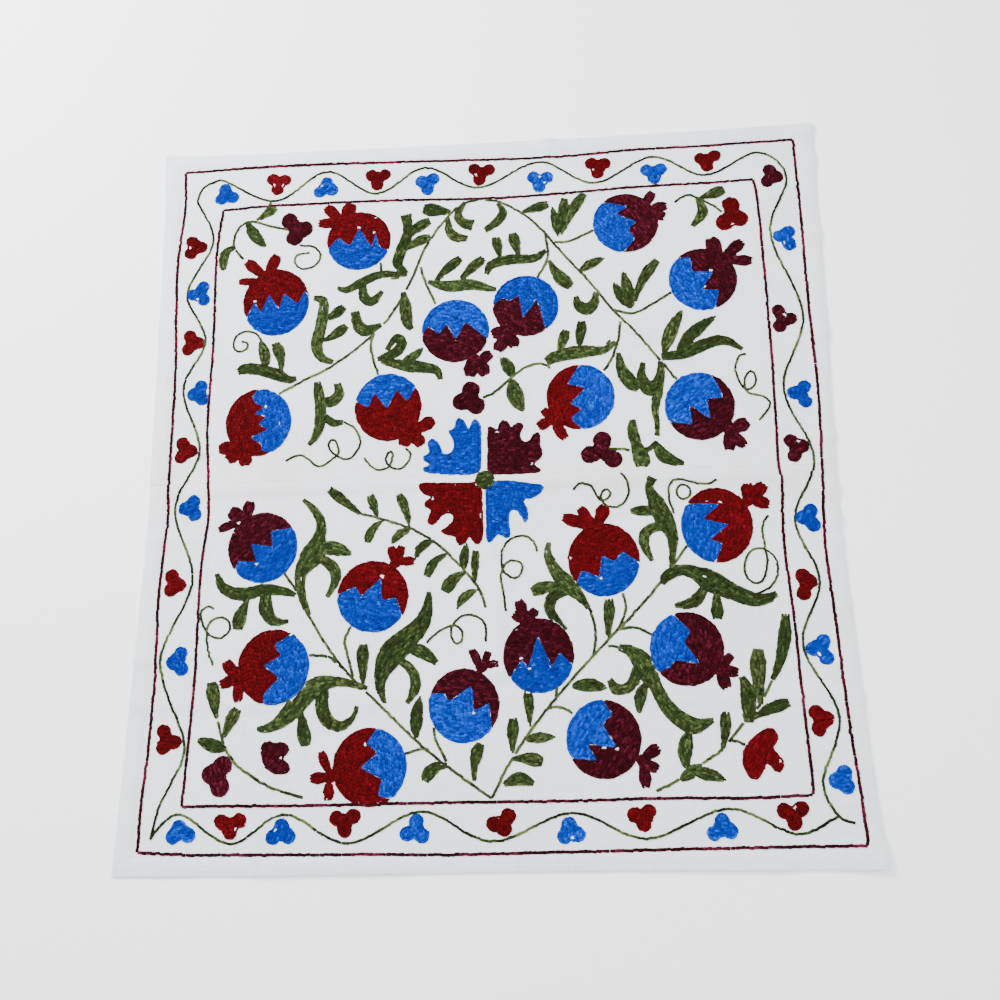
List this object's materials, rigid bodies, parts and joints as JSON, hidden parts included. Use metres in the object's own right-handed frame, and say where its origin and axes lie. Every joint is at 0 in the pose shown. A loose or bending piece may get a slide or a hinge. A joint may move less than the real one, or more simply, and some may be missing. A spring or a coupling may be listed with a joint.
{
  "type": "suzani embroidered textile",
  "caption": "Cotton cloth sewn from two loom-width panels with hemmed edges, lying flat with soft creases, chain-stitched with pomegranates and leafy vines.",
  "frame": {"origin": "on the surface under the middle of the cloth", "axes": "+X across the cloth to the right, +Y up its face, +Z out of the face"},
  "size_m": [0.9026, 0.9728, 0.0082],
  "materials": {
    "cotton_ground": "matt plain-weave cotton",
    "blue_yarn": "soft twisted yarn",
    "crimson_yarn": "soft twisted yarn",
    "maroon_yarn": "soft twisted yarn",
    "green_yarn": "soft twisted yarn",
    "dark_green_yarn": "soft twisted yarn"
  },
  "bodies": {
    "root": {"panel_upper": "cotton_ground", "panel_lower": "cotton_ground"}
  },
  "joints": []
}
